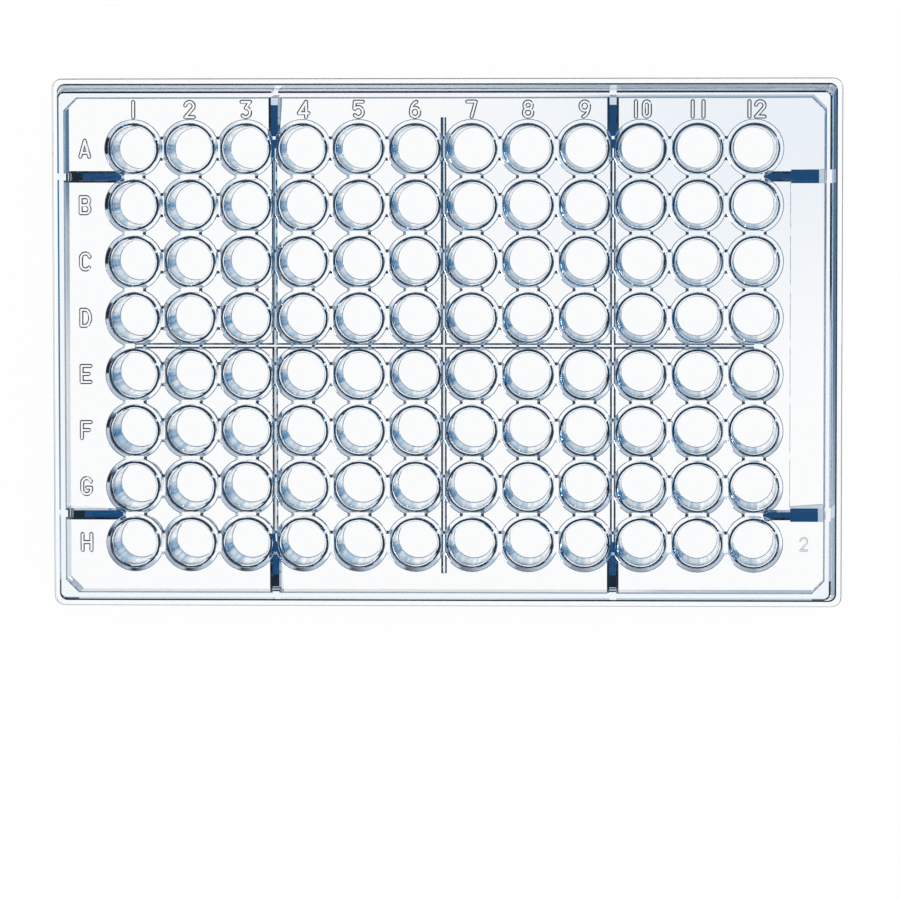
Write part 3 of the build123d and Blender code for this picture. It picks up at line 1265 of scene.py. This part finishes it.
@dataclass
class WellPlate:
    """The whole plate, one clear moulding."""

    shell: Shell
    field: WellField
    stiffeners: Stiffeners
    lettering: Lettering
    material: bpy.types.Material
    sharp_angle: float = 40.0
    band_gap: float = 0.001
    flat_limit: float = 0.5
    crumb: int = 10

    def adders(self) -> dict[str, bpy.types.Mesh]:
        """Return the named solids that are fused with the shell.

        Returns:
            Each mesh under its name.
        """
        plain = Gusset()
        upper = Gusset(ramp=1.25, ramp_rise=0.56)
        broad = Gusset(thickness=0.9, wide_thickness=2.15, wide_reach=5.5, ramp=0.9, ramp_rise=0.35)
        return {
            "Wells one": self.field.outsides(0),
            "Wells two": self.field.outsides(1),
            "Bridges between rows": self.field.bridges(between_rows=True),
            "Bridges between columns": self.field.bridges(between_rows=False),
            "Ribs across": self.stiffeners.ribs(along_x=False),
            "Rib along": self.stiffeners.ribs(along_x=True),
            "Gussets right": self.stiffeners.gussets(Side.RIGHT, broad),
            "Gussets top": self.stiffeners.gussets(Side.TOP, upper),
            "Gussets left": self.stiffeners.gussets(Side.LEFT, plain),
            "Gussets bottom": self.stiffeners.gussets(Side.BOTTOM, plain),
            "Characters": self.lettering.labels(),
            "Cavity mark": self.lettering.cavity_mark(),
        }

    def sliced(self, mesh: bpy.types.Mesh) -> bpy.types.Mesh:
        """Return a mesh whose flats are split along the lines between the wells, so that no face is large.

        Args:
            mesh: The mesh, which is changed.

        Returns:
            The same mesh.
        """
        cutter = bmesh.new()
        cutter.from_mesh(mesh)
        for axis, count in ((0, self.field.columns), (1, self.field.rows)):
            across = Vector()
            across[axis] = 1.0
            for line in range(count + 1):
                place = across * ((line - count / 2.0) * self.field.pitch * MM)
                parts = [*cutter.verts, *cutter.edges, *cutter.faces]
                bmesh.ops.bisect_plane(cutter, geom=parts, plane_co=place, plane_no=across)
        cutter.to_mesh(mesh)
        cutter.free()
        return mesh

    def edged(self, sketch: Sketch, solid: Socket) -> Socket:
        """Return the solid shaded smooth, but sharp where its bands meet and at real edges.

        Args:
            sketch: The tree that it is drawn in.
            solid: The solid.

        Returns:
            The shaded solid.
        """
        mark = sketch.node("GeometryNodeInputNamedAttribute", {"Name": BAND}, data_type="FLOAT").outputs[0]
        band = Number(sketch, mark)
        square = sketch.node("GeometryNodeFieldOnDomain", {0: band * band}, domain="FACE").outputs[0]
        differs = sketch.maths("GREATER_THAN", Number(sketch, square) - band * band, self.band_gap)
        angle = sketch.node("GeometryNodeInputMeshEdgeAngle").outputs[0]
        limit = sketch.plain("Sharp angle", math.radians(self.sharp_angle))
        sharp = sketch.maths("MAXIMUM", differs, sketch.maths("GREATER_THAN", angle, limit))
        curved = sketch.maths("GREATER_THAN", band, self.flat_limit)
        smooth = {0: solid, "Shade Smooth": curved}
        faces = sketch.node("GeometryNodeSetShadeSmooth", smooth, domain="FACE").outputs[0]
        split = {0: faces, "Selection": sharp, "Shade Smooth": False}
        return sketch.node("GeometryNodeSetShadeSmooth", split, domain="EDGE").outputs[0]

    def build(self) -> bpy.types.Object:
        """Mould the plate, put it on its body and return it.

        Returns:
            The plate's object.
        """
        added = {name: held(name, mesh) for name, mesh in self.adders().items()}
        taken = {
            "Hollow": held("hollow", self.sliced(self.shell.hollow())),
            "Panel": held("panel", self.shell.panel()),
            "Well spaces": held("well spaces", self.field.spaces()),
        }
        pieces = added | taken
        for name, piece in pieces.items():
            log.info("%s: %d faces", name, len(piece.data.polygons))
        sketch = Sketch("one moulding", self.material)
        hollow = sketch.solid_of("Hollow", taken["Hollow"])
        open_shell = sketch.cut(sketch.mesh, [hollow, sketch.solid_of("Panel", taken["Panel"])])
        solids = [sketch.solid_of(name, piece) for name, piece in added.items()]
        whole = sketch.fused([open_shell, *solids])
        drilled = sketch.cut(whole, [sketch.solid_of("Well spaces", taken["Well spaces"])])
        clean = sketch.swept_clean(drilled, self.crumb)
        mesh = sketch.build(self.edged(sketch, clean), self.sliced(self.shell.outside()))
        for piece in pieces.values():
            bpy.data.objects.remove(piece)
        plate = held("well_plate_clear", mesh)
        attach(plate, "root")
        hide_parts("well_plate")
        return plate


@dataclass(frozen=True)
class LightTable:
    """The pale surface that the plate stands on, which glass and gloss see through to the surround."""

    half_size: float = 3.0
    glow: float = 1.0
    matt: Colour = (0.9, 0.9, 0.9)
    shadow_share: float = 0.03

    def material(self) -> bpy.types.Material:
        """Return the table's material.

        Returns:
            The material.
        """
        material = bpy.data.materials.new("pale table")
        material.use_nodes = True
        tree = Tree(material.node_tree)
        nodes = material.node_tree.nodes
        nodes.remove(nodes["Principled BSDF"])
        rays = tree.node("ShaderNodeLightPath").outputs
        glow = tree.node("ShaderNodeEmission", {"Strength": self.glow}).outputs[0]
        matt = tree.node("ShaderNodeBsdfDiffuse", {"Color": (*self.matt, 1.0)}).outputs[0]
        seen = tree.either(self.shadow_share, glow, matt)
        straight = tree.either(rays["Is Camera Ray"], matt, seen)
        optical = tree.maths("MAXIMUM", rays["Is Transmission Ray"], rays["Is Glossy Ray"])
        from_below = tree.node("ShaderNodeNewGeometry").outputs["Backfacing"]
        through = tree.node("ShaderNodeBsdfTransparent").outputs[0]
        surface = tree.either(tree.maths("MAXIMUM", optical, from_below), straight, through)
        tree.fill(nodes["Material Output"], {"Surface": surface})
        return material

    def build(self) -> bpy.types.Object:
        """Lay the table under the plate and return it.

        Returns:
            The table's object.
        """
        size = self.half_size
        corners = [(-size, -size, 0.0), (size, -size, 0.0), (size, size, 0.0), (-size, size, 0.0)]
        mesh = bpy.data.meshes.new("table")
        mesh.from_pydata(corners, [], [(0, 1, 2, 3)])
        mesh.materials.append(self.material())
        table = held("table", mesh)
        return table


@dataclass(frozen=True)
class Zone:
    """A colour that comes in between two angles from straight down, in degrees."""

    colour: Colour
    start: float
    full: float


@dataclass(frozen=True)
class Sector:
    """The directions round an azimuth, in degrees: none beyond the outer half width, all within the inner."""

    azimuth: float
    outer: float
    inner: float


@dataclass(frozen=True)
class Surround:
    """What the clear plastic sees round it: a light box below, blue dusk at the sides, soft light above.

    Angles are in degrees from straight down. Some parts are for mirrored rays alone, and one only for
    rays that come straight through.
    """

    below: Colour = (1.06, 1.06, 1.06)
    rim_high: Colour = (0.72, 0.8, 0.9)
    rim_low: Colour = (0.5, 0.58, 0.7)
    rim_climb: float = 4.0
    dark: Colour = (0.001, 0.006, 0.015)
    box_tilt: Point = (1.0, 1.0)
    box_edge: float = 11.8
    box_soft: float = 13.4
    box_fade: float = 18.0
    box_end: float = 21.0
    shade: Sector = Sector(177.0, 15.0, 9.0)
    shade_near: float = 4.5
    far_shade: Sector = Sector(262.0, 24.0, 14.4)
    far_shade_near: float = 3.0
    card: Colour = (0.05, 0.19, 0.38)
    card_flank: Colour = (0.56, 0.65, 0.74)
    card_reach: Sector = Sector(30.0, 75.0, 60.0)
    card_deep_reach: Sector = Sector(0.0, 26.0, 13.0)
    card_start: Point = (0.8, 2.0)
    card_end: Point = (18.0, 14.0)
    lower: Zone = Zone((0.10, 0.22, 0.38), 44.0, 54.0)
    level: Zone = Zone((0.006, 0.06, 0.17), 70.0, 80.0)
    sky: Zone = Zone((0.62, 0.72, 0.84), 96.0, 106.0)
    open_air: Zone = Zone((0.86, 0.92, 0.98), 37.0, 44.0)
    deep_start: Point = (50.0, 60.0)
    deep_share: float = 0.6
    deep_count: float = 3.5
    above: Zone = Zone((0.12, 0.15, 0.2), 128.0, 142.0)
    slot: Colour = (0.8, 0.9, 1.0)
    slot_reach: Sector = Sector(204.0, 4.0, 2.0)
    slot_start: Point = (20.0, 21.0)
    slot_end: Point = (60.0, 62.0)

    def build(self) -> None:
        """Set the world: white to the camera, and the surround for all other rays."""
        world = bpy.data.worlds.new("surround")
        world.use_nodes = True
        bpy.context.scene.world = world
        tree = Tree(world.node_tree)
        rays = tree.node("ShaderNodeLightPath").outputs
        around = world.node_tree.nodes["Background"]
        tree.fill(around, {"Color": self.colour(tree, rays)})
        plain = tree.node("ShaderNodeBackground", {"Color": (1.0, 1.0, 1.0, 1.0)})
        surface = tree.either(rays["Is Camera Ray"], around.outputs[0], plain.outputs[0])
        tree.fill(world.node_tree.nodes["World Output"], {"Surface": surface})

    def colour(self, tree: Tree, rays: bpy.types.NodeOutputs) -> Socket:
        """Return the colour of the surround in each direction.

        Args:
            tree: The world's nodes.
            rays: What the light path says of each ray.

        Returns:
            The colour's socket.
        """
        place = tree.node("ShaderNodeTexCoord").outputs["Generated"]
        x, y, z = tree.axes(place)
        angle = tree.maths("ARCCOSINE", z * -1.0)
        axis = Vector((math.radians(self.box_tilt[0]), math.radians(self.box_tilt[1]), -1.0)).normalized()
        product = tree.node("ShaderNodeVectorMath", {0: place, 1: axis}, operation="DOT_PRODUCT")
        from_box = tree.maths("ARCCOSINE", product.outputs["Value"])

        def step(value: Number, start: float, end: float) -> Number:
            """Return a smooth rise from 0 to 1 between two angles in degrees."""
            return tree.ramp(value, math.radians(start), math.radians(end))

        def within(sector: Sector) -> Number:
            """Return how far inside a sector each direction lies, from 0 to 1.

            Args:
                sector: The sector.

            Returns:
                The share.
            """
            turn = math.radians(sector.azimuth)
            across = x * -math.sin(turn) + y * math.cos(turn)
            along = x * math.cos(turn) + y * math.sin(turn)
            off = tree.maths("ABSOLUTE", tree.maths("ARCTAN2", across, along))
            return step(off, sector.outer, sector.inner)

        rim = tree.mixed(y * self.rim_climb + 0.5, self.rim_low, self.rim_high)
        nearer = from_box + within(self.shade) * math.radians(self.shade_near)
        nearer = nearer + within(self.far_shade) * math.radians(self.far_shade_near)
        colour = tree.mixed(step(from_box, self.box_edge, self.box_soft), self.below, rim)
        colour = tree.mixed(step(nearer, self.box_fade, self.box_end), colour, self.dark)
        mirrored = tree.maths("GREATER_THAN", rays["Glossy Depth"], 0.5)
        many = tree.maths("GREATER_THAN", rays["Transmission Depth"], self.deep_count)
        card = step(angle, *self.card_start) * step(angle, *self.card_end) * mirrored
        card = card * within(self.card_reach)
        facing = tree.mixed(within(self.card_deep_reach), self.card_flank, self.card)
        colour = tree.mixed(card, colour, facing)
        for zone in (self.lower, self.level, self.sky):
            colour = tree.mixed(step(angle, zone.start, zone.full), colour, zone.colour)
        clear = step(angle, self.open_air.start, self.open_air.full) * (1.0 - mirrored)
        deep = step(angle, *self.deep_start) * many * self.deep_share
        colour = tree.mixed(tree.maths("MAXIMUM", clear, deep), colour, self.open_air.colour)
        high = step(angle, self.above.start, self.above.full) * mirrored
        colour = tree.mixed(high, colour, self.above.colour)
        slot = step(angle, *self.slot_start) * within(self.slot_reach) * (1.0 - step(angle, *self.slot_end))
        return tree.mixed(slot, colour, self.slot)


@dataclass(frozen=True)
class Studio:
    """The camera, the lamp and the view, in metres, radians and watts where they have a unit."""

    place: tuple[float, float, float] = (0.03529, 0.03729, 0.83871)
    tilt: tuple[float, float, float] = (-0.06523, 0.04145, -0.00121)
    lens: float = 207.16
    sensor: float = 36.0
    nearest: float = 0.01
    furthest: float = 20.0
    lamp_angle: float = 24.0
    lamp_distance: float = 0.9
    lamp_height: float = 0.9
    lamp_size: float = 0.4
    lamp_power: float = 3.0
    bounces: int = 28
    glossy_bounces: int = 24
    transparent_bounces: int = 16

    def build(self) -> None:
        """Set up the camera, the lamp and the view."""
        data = bpy.data.cameras.new("camera")
        data.lens = self.lens
        data.sensor_width = self.sensor
        data.clip_start = self.nearest
        data.clip_end = self.furthest
        camera = bpy.data.objects.new("camera", data)
        camera.location = self.place
        camera.rotation_euler = Euler(self.tilt, "XYZ")
        angle = math.radians(self.lamp_angle)
        light = bpy.data.lights.new("lamp", "AREA")
        light.shape = "DISK"
        light.size = self.lamp_size
        light.energy = self.lamp_power
        lamp = bpy.data.objects.new("lamp", light)
        across, along = self.lamp_distance * math.cos(angle), self.lamp_distance * math.sin(angle)
        lamp.location = (across, along, self.lamp_height)
        lamp.rotation_mode = "QUATERNION"
        lamp.rotation_quaternion = Vector(lamp.location).to_track_quat("Z", "Y")
        scene = bpy.context.scene
        for thing in (camera, lamp):
            scene.collection.objects.link(thing)
        scene.camera = camera
        scene.view_settings.view_transform = "Standard"
        scene.cycles.max_bounces = self.bounces
        scene.cycles.transmission_bounces = self.bounces
        scene.cycles.glossy_bounces = self.glossy_bounces
        scene.cycles.transparent_max_bounces = self.transparent_bounces
        scene.cycles.caustics_reflective = True
        scene.cycles.caustics_refractive = True


def main() -> None:
    """Build the plate and its stage, and report each piece."""
    logging.basicConfig(level=logging.INFO, format="%(message)s")
    low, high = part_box("well_plate")
    clear = ClearPolystyrene().material()
    shell = Shell(length=(high.x - low.x) / MM, width=(high.y - low.y) / MM)
    field = WellField(WellForm(rim_top=high.z / MM, deck_top=shell.deck_top), clear)
    stiffeners = Stiffeners(shell, field, clear)
    lettering = Lettering(field, clear, shell.deck_top)
    plate = WellPlate(shell, field, stiffeners, lettering, clear).build()
    log.info("%s: %d vertices, %d faces", plate.name, len(plate.data.vertices), len(plate.data.polygons))
    table = LightTable().build()
    log.info("%s laid", table.name)
    Surround().build()
    Studio().build()
    log.info("surround, camera and lamp set")


if __name__ == "__main__":
    main()
